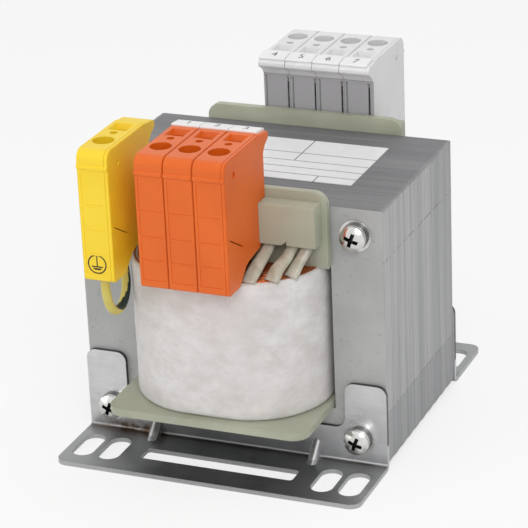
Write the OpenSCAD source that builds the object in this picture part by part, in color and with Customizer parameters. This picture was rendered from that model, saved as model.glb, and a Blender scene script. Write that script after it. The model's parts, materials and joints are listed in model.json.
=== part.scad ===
// Open laminated mains transformer on two folded feet, with screw terminals on both sides.
// Millimetres. X runs along the core, Y through the lamination stack (front is -Y), Z is up.
// The origin is on the floor, under the middle of the core.

/* [Core] */
// Lamination module: width of an outer leg or a yoke, and half the centre leg
lam_a = 14; // [13:0.5:16]
// Depth of the lamination stack
stack_d = 54; // [44:1:60]
// Number of sheet packets, laid alternately with the E up and the E down
packet_count = 20; // [12:2:26]
// How far the edges of every second packet stand back
packet_step = 0.05; // [0.02:0.01:0.2]
// Air between packets, and between an E and its I
packet_gap = 0.03; // [0.02:0.01:0.06]
// Height of the core above the floor
core_lift = 1.4; // [1.3:0.1:4]
// Diameter of the bolt holes in the sheets
core_hole_d = 4.5; // [4.4:0.1:5]

/* [Bobbin] */
// Wall of the bobbin's tube and of its terminal rails
bobbin_wall = 1.2; // [0.8:0.1:1.6]
// Thickness of the two flanges
flange_t = 2; // [1.2:0.1:2.6]
// Reach of the lower flange in front of the core and behind it
lower_flange_reach = 21.6; // [19:0.2:24]
// Corner radius of the lower flange
flange_corner_r = 4.5; // [3:0.5:10]
// Thickness of the upright plate at the front and at the back
plate_t = 2; // [1.2:0.1:2.6]
// Height of the upright plates above the core
plate_rise = 4.1; // [2:0.1:8]
// Radius of the upright plates' upper corners
plate_corner_r = 3.5; // [1:0.5:6]
// Depth of the hollow terminal rail
rail_d = 4.9; // [3.5:0.1:6]
// Height of the terminal rail
rail_h = 10.7; // [8:0.1:11.5]
// Height of the rail's upper edge above the core
rail_rise = 1.7; // [0.5:0.1:3]

/* [Windings] */
// Build of the inner winding in the window
primary_build = 4.6; // [3:0.1:5]
// Build of the outer winding in the window
secondary_build = 4.9; // [3:0.1:5.1]
// Insulation between the windings
insulation_t = 0.3; // [0.2:0.05:0.5]
// Thickness of the outer wrap
wrap_t = 0.7; // [0.4:0.1:0.8]
// How much thicker the coil is outside the window than inside it
coil_bulge = 6.8; // [0:0.2:8]
// Corner radius of the finished coil
coil_corner_r = 20.5; // [12:0.5:24]

/* [Feet] */
// Sheet thickness of the feet
sheet_t = 1.2; // [1:0.1:1.6]
// Reach of a foot from the core's face to its outer edge
foot_reach = 23.8; // [21:0.2:28]
// Outer corner radius of the feet
foot_corner_r = 3; // [1:0.5:5]
// Height of the foot's web between the tabs
web_h = 10.7; // [8:0.1:12]
// Height of the tabs that the bolts go through
tab_h = 23.5; // [16:0.5:27]
// Width of a tab
tab_w = 11; // [10.5:0.1:13]
// Radius of the tabs' upper corners
tab_corner_r = 2.6; // [0.6:0.2:4]
// How far the foot's lower part stands out past the core on each side
foot_side = 0.4; // [0:0.1:1]
// Inner radius of the fold
fold_r = 0.8; // [0.4:0.1:1.2]
// Width of the fixing slots
slot_w = 6; // [4.5:0.1:7]
// End-to-end length of the fixing slots
slot_l = 12.8; // [8:0.2:14]
// Distance from the core's face to the middle of the fixing slots
slot_reach = 13; // [12:0.5:14]
// Distance between the two outer rows of fixing slots
outer_slot_pitch = 75; // [74:0.5:75.5]
// Distance between the two inner rows of fixing slots
inner_slot_pitch = 60; // [58:0.5:61]
// Length of the long slot in the middle
long_slot_l = 43; // [30:1:46]
// Width of the long slot
long_slot_w = 5.8; // [4.5:0.1:7]
// Distance between the two pressed gussets
gusset_pitch = 45.6; // [36:0.2:48]
// Width of a gusset
gusset_w = 2.8; // [2:0.1:4]
// Height and reach of a gusset
gusset_size = 4.6; // [3:0.1:6]

/* [Bolts] */
// Thread diameter of the core bolts
bolt_d = 4; // [3.6:0.1:4.2]
// Diameter of the bolt heads
head_d = 6.8; // [6:0.1:7.5]
// Height of the bolt heads
head_h = 2.6; // [2:0.1:3.2]
// Outer diameter of the flat washers
washer_d = 8.4; // [8:0.1:9.5]
// Thickness of the flat washers
washer_t = 0.8; // [0.5:0.1:1.2]
// Outer diameter of the spring washers
spring_d = 7; // [6.5:0.1:7.6]
// Thickness of the spring washers
spring_t = 1; // [0.6:0.1:1.4]
// Width across flats of the nuts
nut_af = 7; // [6.5:0.1:8]
// Height of the nuts
nut_h = 3.2; // [2.4:0.1:4]
// Bolt length past the nut on the lower bolts
bolt_end = 1.5; // [0.5:0.1:3]

/* [Terminals] */
// Distance from pole to pole
pole_pitch = 7.8; // [7.6:0.1:8]
// Air between neighbouring housings
pole_gap = 0.2; // [0.1:0.05:0.4]
// Place of the middle of the rail's seven poles along X
pole_offset = -0.6; // [-1:0.1:0]
// Reach of the housings from the core's face
term_reach = 27.3; // [26:0.1:30]
// Height of the housings' top above the core
term_rise = 19; // [17:0.1:22]
// Height of the housings' outer face
term_h = 34.7; // [33.5:0.1:36]
// Depth of the housings' lowest part
nose_d = 6.5; // [5.5:0.1:7.5]
// Thickness of the housings' walls
term_wall = 0.9; // [0.7:0.1:1.1]
// Thickness of the end covers
cover_t = 0.8; // [0.5:0.1:1.2]
// Diameter of the screwdriver holes
driver_hole_d = 5.6; // [5.4:0.1:5.9]
// Distance from the outer face to the screwdriver hole's axis
driver_inset = 8.2; // [7:0.1:8.6]
// Width of the square wire entries
entry_w = 3.8; // [3:0.1:3.9]
// Distance from the outer face to the wire entry's middle
entry_inset = 18.6; // [17.5:0.1:19.4]
// Diameter of the test holes
test_hole_d = 2; // [1.5:0.1:2.4]
// Thickness of the marker tags
tag_t = 0.8; // [0.5:0.1:1.2]

/* [Label] */
// Length of the label on the core
label_l = 52; // [30:1:60]
// Width of the label
label_w = 28.6; // [15:0.2:36]
// Thickness of the label
label_t = 0.2; // [0.1:0.05:0.3]

/* [Hidden] */
$fn = 48;

// Core
core_w = 6 * lam_a;
core_h = 5 * lam_a;
core_top = core_lift + core_h;
packet_t = stack_d / packet_count;
bolt_x = core_w / 2 - lam_a / 2;
bolt_z = [core_lift + lam_a / 2, core_top - lam_a / 2];

// Bobbin
leg_clear = 0.3;
window_clear = 0.4;
flange_clear = 0.15;
plate_gap = 0.3;
plate_over = 0.2;
tube_hx = lam_a + leg_clear + bobbin_wall;
tube_hy = stack_d / 2 + leg_clear + bobbin_wall;
flange_hx = 2 * lam_a - window_clear;
flange_lo = core_lift + lam_a + flange_clear;
flange_hi = core_lift + 4 * lam_a - flange_clear;
plate_hx = 2 * lam_a + plate_over;
plate_u = plate_gap + plate_t;
rail_u = plate_u + rail_d;
rail_hi = core_top + rail_rise;
rail_lo = rail_hi - rail_h;
rail_poles = 7;
rib_t = 1;
rib_h = 2.6;

// Coil: each layer starts where the one below it ends
coil_gap = 0.1;
coil_lo = flange_lo + flange_t + coil_gap;
coil_hi = flange_hi - flange_t - coil_gap;
coil_inner_r = 2;
coil_steps = [0, primary_build, insulation_t, secondary_build, wrap_t];

// Bolts
hole_clear = 0.15;
lug_t = 0.8;
lug_d = 7.6;
bolt_len = stack_d + 2 * sheet_t + 2 * washer_t + spring_t + nut_h + bolt_end;
cross_w = 1;
cross_l = 3.8;
cross_deep = 2;

// Terminals, in the plane of u (outwards from the core's face) and z
fit = 0.1;
term_top = core_top + term_rise;
term_bot = term_top - term_h;
term_w = pole_pitch - pole_gap;
edge_c = 0.15;
ledge_drop = 4.4;
panel_deep = 0.14;
panel_bar = 0.5;
seat_u = rail_u + fit;
back_u = plate_u + 0.4;
tag_out = back_u + 1.6;
saddle_z = rail_hi + fit;
lip_z = rail_lo - fit;
lip_deep = 1.1;
lip_h = 1.2;
ledge_z = lip_z - lip_h;
driver_u = term_reach - driver_inset;
entry_u = term_reach - entry_inset;
test_u = (driver_u + entry_u) / 2 - 0.7;
cavity_hi = term_top - 7.8;
cavity_mid = saddle_z + 1.2;
cavity_lo = ledge_z + 1.3;
cavity_out = term_reach - 1.5;
clamp_w = 5.4;
clamp_t = 0.8;
clamp_hi = cavity_hi - 0.3;
clamp_lo = cavity_mid + 0.5;
clamp_u = back_u + 2;
bar_w = 4;
bar_t = 1;
bar_out = cavity_out - 0.8;
bar_lo = cavity_lo + 0.2;
solder_u = seat_u + 4;
solder_z = ledge_z - 3;
screw_d = 3;
screw_head_d = driver_hole_d - 0.6;
screw_head_h = 2;
lead_hole_d = 3;
earth_lead_u = term_reach - 3.8;
earth_pole = 0;
primary_first = 2;
secondary_first = 2;

// Leads: sleeved winding ends and the earth lead, as hand-set points
sleeve_d = 2.4;
sleeve_w = 3.6;
sleeve_t = 2;
sleeve_end = rail_lo + 1.2;
wire_d = 1.2;
lane_u = plate_u + (rail_d - bobbin_wall) / 2;
lane_step = 1.6;
earth_lead_d = 2.4;
tube_sides = 10;
lug_turn = 60;
lug_reach = 4.6;
barrel_l = 3;
barrel_deep = 1.8;
barrel_u = lug_t + earth_lead_d / 2 + 0.3;
// The sleeved end of each primary lead, from the coil's top up into the rail: along X, outwards, up.
// Heights are from the rail's lower edge. Every sleeve starts on the coil and ends inside the rail
SLEEVE_WAYS = [
    [[12.6, 15.6, -5.9], [12.8, 14.2, -4.7], [13, 12, -3.8], [13.2, 9.6, -3], [13.4, 7.2, -2.2], [13.5, 5.3, -1.1],
     [13.5, 4.3, 0.3]],
    [[17.6, 12.9, -5.9], [17.9, 11.6, -4.7], [18.5, 9.9, -3.8], [19.1, 8.2, -2.9], [19.5, 6.6, -2], [19.7, 5.1, -0.9],
     [19.7, 4.25, 0.4]],
    [[21.4, 8.9, -5.9], [21.8, 7.9, -4.6], [22.5, 6.7, -3.3], [23.2, 5.5, -2], [23.6, 4.5, -0.7], [23.7, 4.2, 0.4]]
];
// From a solder tag's side down to the coil: along X, outwards, up from the tag's lower end
SHORT_WAY = [[3.9, 0, -1.6], [3.9, 0, -0.6], [3.7, 0, 0.2], [3.2, 0, 0.8], [2.6, 0, 1.1], [2, 0, 1.1]];
// The earth lead: its outer run under the housing, outwards from the lead's hole, then its inner run
EARTH_DROP = [
    [0, 0, 58], [0, 0, 54.5], [0, -0.2, 51.5], [0, -0.9, 48.6], [0, -2.4, 46], [0, -4.7, 44.3],
    [0, -7.2, 43.8], [-0.1, -9.7, 44.6], [-0.2, -11.6, 46.6], [-0.4, -12.6, 49.4]
];
EARTH_RISE = [[-0.9, 10.3, 52.2], [-1.9, 8.9, 54.3], [-3.5, 6.7, 55.5], [-5.3, 4.2, 56]];

// Height of the sloping step that a tag lies in
function tag_seat(u) = term_top - 0.3 - 0.1 * (tag_out - u);
function pole_x(i) = pole_offset + (i - (rail_poles - 1) / 2) * pole_pitch;
function coil_hx(n) = tube_hx + coil_gap + layer_sum(n);
function coil_hy(n) = tube_hy + coil_gap + layer_sum(n) + (n > 0 ? coil_bulge * layer_sum(n) / layer_sum(4) : 0);
function layer_sum(n) = n == 0 ? 0 : layer_sum(n - 1) + coil_steps[n] + (n > 1 ? coil_gap : 0);
function arc(cx, cy, r, from, to, steps = 6) =
    [for (i = [0:steps]) let (t = from + (to - from) * i / steps) [cx + r * cos(t), cy + r * sin(t)]];

// A sheet or profile drawn in (u, z), drawn out along X about the middle x
module along_x(width, x = 0) {
    translate([x - width / 2, 0, 0]) rotate([90, 0, 90]) linear_extrude(width) children();
}

// A sheet drawn in (x, z), drawn out along Y from 0
module along_y(depth) {
    translate([0, depth, 0]) rotate([90, 0, 0]) linear_extrude(depth) children();
}

// Puts a piece with its u axis along Y at the rear face of the core, or mirrored at the front face
module at_rear() {
    translate([0, stack_d / 2, 0]) children();
}
module at_front() {
    mirror([0, 1, 0]) at_rear() children();
}

module rounded_rect(hx, hy, r) {
    square([2 * (hx - r), 2 * hy], center = true);
    square([2 * hx, 2 * (hy - r)], center = true);
    for (x = [-1, 1], y = [-1, 1]) translate([x * (hx - r), y * (hy - r)]) circle(r);
}

module slot_2d(length, width) {
    square([width, length - width], center = true);
    for (s = [-1, 1]) translate([0, s * (length - width) / 2]) circle(d = width);
}

// Tube swept along a list of points, d across and thick towards aside. No part may run along aside
module tube(points, d, aside, thick = 0) {
    n = len(points);
    t = thick == 0 ? d : thick;
    dirs = [for (i = [0:n - 1]) unit(points[min(i + 1, n - 1)] - points[max(i - 1, 0)])];
    verts = [
        for (i = [0:n - 1], k = [0:tube_sides - 1])
            let (s = unit(cross(dirs[i], aside)), v = cross(dirs[i], s), a = 360 * k / tube_sides)
            points[i] + t / 2 * cos(a) * s + d / 2 * sin(a) * v
    ];
    sides = [
        for (i = [0:n - 2], k = [0:tube_sides - 1])
            let (a = i * tube_sides, b = a + tube_sides, k2 = (k + 1) % tube_sides)
            each [[a + k, b + k2, a + k2], [a + k, b + k, b + k2]]
    ];
    start = [for (k = [0:tube_sides - 1]) k];
    end = [for (k = [tube_sides - 1:-1:0]) (n - 1) * tube_sides + k];
    polyhedron(verts, concat([start], sides, [end]), convexity = 6);
}
function unit(v) = v / norm(v);

// ---- Core ----

module bolt_holes_2d(rows) {
    for (x = [-bolt_x, bolt_x], z = rows) translate([x, z]) circle(d = core_hole_d);
}

// One E with its yoke on top, drawn from the core's underside
module e_outline(inset) {
    difference() {
        translate([-core_w / 2 + inset, lam_a + packet_gap])
            square([core_w - 2 * inset, core_h - lam_a - packet_gap - inset]);
        for (x = [-2 * lam_a, lam_a]) translate([x, 0]) square([lam_a, 4 * lam_a]);
        bolt_holes_2d([core_h - lam_a / 2]);
    }
}

// The I that closes it, at the bottom
module i_outline(inset) {
    difference() {
        translate([-core_w / 2 + inset, inset]) square([core_w - 2 * inset, lam_a - inset]);
        bolt_holes_2d([lam_a / 2]);
    }
}

module turned_over() {
    translate([0, core_h]) mirror([0, 1]) children();
}

// Packets with an even number have the E's yoke on top, the others at the bottom
module packets(kind) {
    for (i = [0:packet_count - 1]) translate([0, -stack_d / 2 + i * packet_t, core_lift])
        along_y(packet_t - (i < packet_count - 1 ? packet_gap : 0)) {
            if (i % 2 == 0) sheet(kind, 0);
            else turned_over() sheet(kind, packet_step);
        }
}
module sheet(kind, inset) {
    if (kind == "e") e_outline(inset);
    else i_outline(inset);
}
module e_laminations() { color("dimgray") packets("e"); }
module i_laminations() { color("gray") packets("i"); }

// ---- Bobbin ----

module tube_hole_2d() {
    square([2 * (lam_a + leg_clear), stack_d + 2 * leg_clear], center = true);
}

module upright_plate_2d() {
    r = plate_corner_r;
    top = core_top + plate_rise;
    foot = flange_hi - flange_t;
    translate([-plate_hx, foot]) square([2 * plate_hx, top - r - foot]);
    translate([-plate_hx + r, foot]) square([2 * (plate_hx - r), top - foot]);
    for (s = [-1, 1]) translate([s * (plate_hx - r), top - r]) circle(r);
}

// Hollow rail, open below: a rib hangs from its top at each pole, and its lower edge has wire notches
module terminal_rail() {
    x0 = pole_x(0) - pole_pitch / 2;
    end_t = rib_t / 2;
    difference() {
        translate([x0, plate_u - fit, rail_lo])
            cube([rail_poles * pole_pitch, rail_d + fit, rail_h]);
        translate([x0 + end_t, plate_u, rail_lo - fit])
            cube([rail_poles * pole_pitch - 2 * end_t, rail_d - bobbin_wall, rail_h - rib_h - bobbin_wall + fit]);
        for (i = [0:rail_poles - 1])
            translate([pole_x(i) - (pole_pitch - rib_t) / 2, plate_u, rail_hi - bobbin_wall - rib_h - fit])
                cube([pole_pitch - rib_t, rail_d - bobbin_wall, rib_h + fit]);
        for (i = [1:rail_poles - 1])
            translate([x0 + i * pole_pitch, rail_u + fit, rail_lo])
                rotate([90, 0, 0]) linear_extrude(bobbin_wall + 2 * fit)
                    polygon([[-1.3, -fit], [0.1, -fit], [0.1, 1.3]]);
    }
}

module bobbin() {
    color([0.84, 0.86, 0.76]) {
        translate([0, 0, flange_lo]) linear_extrude(flange_hi - flange_lo) difference() {
            rounded_rect(tube_hx, tube_hy, coil_inner_r);
            tube_hole_2d();
        }
        translate([0, 0, flange_lo]) linear_extrude(flange_t) difference() {
            rounded_rect(flange_hx, stack_d / 2 + lower_flange_reach, flange_corner_r);
            tube_hole_2d();
        }
        translate([0, 0, flange_hi - flange_t]) linear_extrude(flange_t) difference() {
            square([2 * flange_hx, stack_d + 2 * plate_u], center = true);
            tube_hole_2d();
        }
        at_front() end_plate();
        at_rear() end_plate();
    }
}
module end_plate() {
    translate([0, plate_gap, 0]) along_y(plate_t) upright_plate_2d();
    terminal_rail();
}

// ---- Windings ----

module coil_layer(n, r_in, r_out) {
    translate([0, 0, coil_lo]) linear_extrude(coil_hi - coil_lo) difference() {
        rounded_rect(coil_hx(n), coil_hy(n), r_out);
        rounded_rect(coil_hx(n - 1) + layer_gap(n), coil_hy(n - 1) + layer_gap(n), r_in + layer_gap(n));
    }
}
function layer_gap(n) = n > 1 ? coil_gap : 0;
function layer_r(n) = coil_inner_r + (coil_corner_r - coil_inner_r) * layer_sum(n) / layer_sum(4);
module primary_winding() { color([0.72, 0.4, 0.2]) coil_layer(1, layer_r(0), layer_r(1)); }
module winding_insulation() { color([0.9, 0.85, 0.7]) coil_layer(2, layer_r(1), layer_r(2)); }
module secondary_winding() { color([0.75, 0.43, 0.22]) coil_layer(3, layer_r(2), layer_r(3)); }
module outer_wrap() { color([0.93, 0.92, 0.91]) coil_layer(4, layer_r(3), layer_r(4)); }

// ---- Feet ----

// Web and tabs, seen from the front; z = 0 is the floor
module foot_front_2d() {
    tab_x = core_w / 2 - tab_w;
    side_x = core_w / 2 + foot_side;
    r = tab_corner_r;
    z0 = sheet_t + fold_r;
    translate([-side_x, z0]) square([2 * side_x, web_h - z0]);
    for (s = [0, 1]) mirror([s, 0]) {
        translate([tab_x, z0]) square([side_x - tab_x, tab_h - r - z0]);
        translate([tab_x + r, z0]) square([side_x - tab_x - 2 * r, tab_h - z0]);
        for (x = [tab_x + r, side_x - r]) translate([x, tab_h - r]) circle(r);
        translate([tab_x - 3, web_h]) difference() {
            translate([0, -fit]) square([3 + fit, 3 + fit]);
            translate([0, 3]) circle(3);
        }
    }
}

// The part that lies on the floor, seen from above, from the end of the fold outwards
module foot_floor_2d() {
    side_x = core_w / 2 + foot_side;
    u0 = sheet_t + fold_r;
    difference() {
        union() {
            translate([-side_x, u0]) square([2 * side_x, foot_reach - foot_corner_r - u0]);
            translate([-side_x + foot_corner_r, u0])
                square([2 * (side_x - foot_corner_r), foot_reach - u0]);
            for (s = [-1, 1]) translate([s * (side_x - foot_corner_r), foot_reach - foot_corner_r])
                circle(foot_corner_r);
        }
        for (x = [-outer_slot_pitch, -inner_slot_pitch, inner_slot_pitch, outer_slot_pitch] / 2)
            translate([x, slot_reach]) slot_2d(slot_l, slot_w);
        translate([0, slot_reach]) long_slot_2d();
    }
}
module long_slot_2d() {
    r = 1;
    rounded_rect(long_slot_l / 2, long_slot_w / 2, r);
}

module fold_2d() {
    r = sheet_t + fold_r;
    translate([r, r]) intersection() {
        difference() {
            circle(r);
            circle(fold_r);
        }
        translate([-r, -r]) square(r);
    }
}

// Rib pressed into the fold: round and proud inside, hollow behind
module gusset() {
    r = gusset_w / 2;
    mid = sheet_t + (gusset_size - r) / 2;
    base = sheet_t / 2;
    intersection() {
        translate([0, mid, mid]) rotate([45, 0, 0]) cylinder(h = 4 * gusset_size, r = r, center = true);
        translate([-r - fit, base, base]) cube([gusset_w + 2 * fit, 3 * gusset_size, 3 * gusset_size]);
    }
    along_x(gusset_w) polygon([[base, base], [2 * mid - base, base], [base, 2 * mid - base]]);
}

module foot() {
    difference() {
        union() {
            along_y(sheet_t) foot_front_2d();
            linear_extrude(sheet_t) foot_floor_2d();
            along_x(core_w + 2 * foot_side) fold_2d();
            for (s = [-1, 1]) translate([s * gusset_pitch / 2, 0, 0]) gusset();
        }
        for (s = [-1, 1]) along_x(gusset_w / 2, s * gusset_pitch / 2)
            polygon([[-fit, -fit], [2.6, -fit], [-fit, 2.6]]);
        for (x = [-bolt_x, bolt_x])
            translate([x, -fit, bolt_z[0]]) rotate([-90, 0, 0]) cylinder(h = sheet_t + 2 * fit, d = core_hole_d);
    }
}
module front_foot() { color("silver") at_front() foot(); }
module rear_foot() { color("silver") at_rear() foot(); }

// ---- Bolts ----

// How far a bolt's washer sits from the core's face: on a tab, on the earth lug or on the core
function seat(front, x, z) = z == bolt_z[0] ? sheet_t : (front && x < 0 ? lug_t : 0);

module for_each_bolt() {
    for (x = [-bolt_x, bolt_x], z = bolt_z) translate([x, 0, z]) {
        $front = seat(true, x, z);
        $rear = seat(false, x, z);
        children();
    }
}

module ring(d_out, d_in, h) {
    rotate([-90, 0, 0]) difference() {
        cylinder(h = h, d = d_out);
        translate([0, 0, -fit]) cylinder(h = h + 2 * fit, d = d_in);
    }
}

module core_bolt() {
    rotate([-90, 0, 0]) {
        cylinder(h = bolt_len, d = bolt_d);
        difference() {
            translate([0, 0, -head_h]) intersection() {
                cylinder(h = head_h, d = head_d);
                translate([0, 0, head_d * 0.8]) sphere(head_d * 0.8, $fn = 64);
            }
            for (a = [20, 110]) rotate([0, 0, a])
                translate([-cross_l / 2, -cross_w / 2, -head_h - fit])
                    cube([cross_l, cross_w, cross_deep + fit]);
        }
    }
}
module core_bolts() {
    color("gainsboro") for_each_bolt()
        translate([0, -stack_d / 2 - $front - washer_t - spring_t, 0]) core_bolt();
}
module flat_washers() {
    color("darkgray") for_each_bolt() {
        translate([0, -stack_d / 2 - $front - washer_t, 0]) ring(washer_d, bolt_d + 2 * hole_clear, washer_t);
        translate([0, stack_d / 2 + $rear, 0]) ring(washer_d, bolt_d + 2 * hole_clear, washer_t);
    }
}
module spring_washers() {
    color("lightgray") for_each_bolt()
        translate([0, -stack_d / 2 - $front - washer_t - spring_t, 0]) difference() {
            ring(spring_d, bolt_d + 2 * hole_clear, spring_t);
            rotate([0, 15, 0]) translate([0, -fit, 0]) cube([spring_d, spring_t + 2 * fit, 0.5]);
        }
}
module hex_nuts() {
    color("silver") for_each_bolt()
        translate([0, stack_d / 2 + $rear + washer_t, 0]) rotate([-90, 0, 0]) difference() {
            cylinder(h = nut_h, d = nut_af / cos(30), $fn = 6);
            translate([0, 0, -fit]) cylinder(h = nut_h + 2 * fit, d = bolt_d + 0.1);
        }
}

// ---- Terminals ----

// Side view of a housing. inset draws in the outer and upper edges, for the chamfered sides
module housing_2d(inset = 0) {
    f = term_reach - inset;
    t = term_top - inset;
    b = term_bot + inset;
    ledge = term_top - ledge_drop;
    r_top = 2.6;
    r_low = 0.8;
    polygon(concat(
        [[term_reach - nose_d, b]],
        arc(f - r_low, b + r_low, r_low, 270, 360, 3),
        [[f, ledge - 0.6], [f + 0.5, ledge - 0.3], [f + 0.5, ledge + 0.3], [f, ledge + 0.7]],
        arc(f - r_top, t - r_top, r_top, 0, 90, 6),
        [[tag_out, t], [tag_out, tag_seat(tag_out)], [back_u - 3, tag_seat(back_u - 3)], [back_u - 3.7, term_top - 1.5],
         [back_u - 3.7, term_top - 2.3], [back_u - 3.1, term_top - 2.9], [back_u - 1.2, term_top - 4],
         [back_u, term_top - 5.6], [back_u, saddle_z], [seat_u, saddle_z], [seat_u, lip_z],
         [seat_u - lip_deep, lip_z], [seat_u - lip_deep, lip_z - 0.4], [seat_u, ledge_z],
         [seat_u + 6.7, ledge_z - 0.6], [seat_u + 9, ledge_z - 1.3],
         [term_reach - nose_d - 0.8, term_bot + 0.8]]));
}

module cavity_2d() {
    polygon([[seat_u + term_wall, cavity_lo], [cavity_out, cavity_lo], [cavity_out, cavity_hi],
             [back_u + term_wall, cavity_hi], [back_u + term_wall, cavity_mid], [seat_u + term_wall, cavity_mid]]);
}

// Square wire entry with a funnel mouth, planed from two crossing wedges
module wire_entry() {
    h = term_top - cavity_hi + 2 * fit;
    mouth = entry_w / 2 + 0.7;
    e = entry_w / 2;
    translate([0, entry_u, cavity_hi - fit]) intersection() {
        along_x(3 * e + 2) entry_wedge(e, mouth, h);
        translate([0, -3 * e, 0]) along_y(6 * e) entry_wedge(e, mouth, h);
    }
}
module entry_wedge(e, mouth, h) {
    polygon([[-e, 0], [e, 0], [e, h - 1.6], [mouth, h], [-mouth, h], [-e, h - 1.6]]);
}

// Shallow panels in the outer face, with bars between them
module face_panels() {
    ledge = term_top - ledge_drop;
    edges = [term_bot + 1.8, term_bot + 7.2, ledge - 16.8, ledge - 10, ledge - 1.2];
    for (i = [0:len(edges) - 2])
        translate([-term_w / 2 + 0.8, term_reach - panel_deep, edges[i] + panel_bar / 2])
            cube([term_w - 1.6, 1, edges[i + 1] - edges[i] - panel_bar]);
}

// Slots on both sides of the face towards the core, each behind a thin outer wall
module inner_face_slots() {
    for (s = [-1, 1]) translate([s * (term_w / 2 - 0.6) - 0.375, back_u - 0.1, saddle_z - fit])
        cube([0.75, 1.4, term_top - 6 - saddle_z]);
}

module housing(i, lead_hole = false) {
    x = pole_x(i);
    translate([x, 0, 0]) difference() {
        union() {
            along_x(term_w - 2 * edge_c) housing_2d();
            along_x(term_w) housing_2d(edge_c);
        }
        along_x(term_w, term_wall) cavity_2d();
        translate([0, driver_u, cavity_hi - fit]) cylinder(h = term_top, d = driver_hole_d);
        translate([0, test_u, cavity_hi - fit]) cylinder(h = term_top, d = test_hole_d);
        wire_entry();
        face_panels();
        inner_face_slots();
        translate([-bar_w / 2 - 0.2, solder_u - bar_t / 2 - 0.2, ledge_z - 2])
            cube([bar_w + 0.4, bar_t + 0.4, cavity_lo - ledge_z + 2 + fit]);
        if (lead_hole) translate([0, earth_lead_u, term_bot - fit]) cylinder(h = cavity_lo - term_bot + 2 * fit, d = lead_hole_d);
    }
}

// End cover over the open side of the last housing of a block
module end_cover(i) {
    x = pole_x(i) + term_w / 2 + 0.05;
    translate([x, 0, 0]) difference() {
        union() {
            along_x(cover_t - edge_c, (cover_t - edge_c) / 2) housing_2d();
            along_x(cover_t, cover_t / 2) housing_2d(edge_c);
        }
        translate([-fit, driver_u + 2.3, term_top - 4.6]) rotate([0, 90, 0]) cylinder(h = cover_t + 2 * fit, d = 1.6);
        translate([-fit, term_reach - 5, term_bot + 12.3]) rotate([30, 0, 0])
            translate([0, -5, 0]) cube([cover_t + 2 * fit, 9, 0.3]);
    }
}

module primary_housing(k) { color([0.95, 0.5, 0.1]) at_front() housing(primary_first + k - 1); }
module primary_end_cover() { color([0.93, 0.48, 0.1]) at_front() end_cover(primary_first + 2); }
module earth_housing() { color([0.97, 0.85, 0.2]) at_front() housing(earth_pole, true); }
module earth_end_cover() { color([0.95, 0.83, 0.2]) at_front() end_cover(earth_pole); }
module secondary_housing(k) { color([0.88, 0.88, 0.89]) at_rear() housing(secondary_first + k - 4); }
module secondary_end_cover() { color([0.86, 0.86, 0.87]) at_rear() end_cover(secondary_first + 3); }

// Places one piece in each of the eight poles
module for_each_pole() {
    at_front() for (i = [earth_pole, primary_first, primary_first + 1, primary_first + 2])
        translate([pole_x(i), 0, 0]) children();
    at_rear() for (i = [secondary_first:secondary_first + 3]) translate([pole_x(i), 0, 0]) children();
}

module clamp_screw() {
    translate([0, driver_u, clamp_hi]) difference() {
        union() {
            cylinder(h = screw_head_h, d = screw_head_d);
            translate([0, 0, -clamp_reach()]) cylinder(h = clamp_reach() + fit, d = screw_d);
        }
        for (a = [0, 90]) rotate([0, 0, a]) translate([-screw_head_d, -0.4, screw_head_h - 0.9])
            cube([2 * screw_head_d, 0.8, 1]);
    }
}
function clamp_reach() = clamp_hi - clamp_lo - clamp_t - bar_t - 0.4;

// Folded clamp: a C round the bar, with a threaded hole for the screw and a hole for the wire
module wire_clamp() {
    difference() {
        along_x(clamp_w) difference() {
            translate([clamp_u, clamp_lo]) square([driver_u + 3.4 - clamp_u, clamp_hi - clamp_lo]);
            translate([clamp_u + clamp_t, clamp_lo + clamp_t])
                square([term_reach, clamp_hi - clamp_lo - 2 * clamp_t]);
        }
        translate([0, driver_u, clamp_hi - clamp_t - fit]) cylinder(h = clamp_t + 2 * fit, d = screw_d + 0.1);
        translate([0, entry_u, clamp_hi - clamp_t - fit]) cylinder(h = clamp_t + 2 * fit, d = entry_w - 0.2);
    }
}

// Brass strip from inside the clamp, down the outer wall and out of the ledge as a solder tag
module contact_bar() {
    bar_z = clamp_lo + clamp_t + 0.1;
    difference() {
        along_x(bar_w) {
            translate([clamp_u + clamp_t + 0.3, bar_z]) square([bar_out - clamp_u - clamp_t - 0.3, bar_t]);
            translate([bar_out - bar_t, bar_lo]) square([bar_t, bar_z + bar_t - bar_lo]);
            translate([solder_u - bar_t / 2, bar_lo]) square([bar_out - solder_u + bar_t / 2, bar_t]);
            translate([solder_u - bar_t / 2, solder_z]) square([bar_t, bar_lo + bar_t - solder_z]);
        }
        translate([0, solder_u - bar_t, solder_z + 1.3]) rotate([-90, 0, 0]) cylinder(h = 2 * bar_t, d = 1.4);
    }
}
module clamp_screws() { color("gainsboro") for_each_pole() clamp_screw(); }
module wire_clamps() { color("lightsteelblue") for_each_pole() wire_clamp(); }
module contact_bars() { color("goldenrod") for_each_pole() contact_bar(); }

// Tag that lies in the step over the housing's nose
module marker_tag(i) {
    out = tag_out - 0.1;
    tip = back_u - 3.2;
    top = tag_seat(tip) + tag_t;
    color("white") along_x(term_w, pole_x(i))
        polygon([[out, tag_seat(out)], [out, tag_seat(out) + tag_t - 0.2], [out - 0.2, tag_seat(out) + tag_t],
                 [tip + 0.3, top], [tip, top - 0.3], [tip, top - tag_t + 0.2], [tip + 0.3, tag_seat(tip + 0.3)]]);
}
module front_tag(k) { at_front() marker_tag(primary_first + k - 1); }
module rear_tag(k) { at_rear() marker_tag(secondary_first + k - 4); }

// ---- Leads ----

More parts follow.
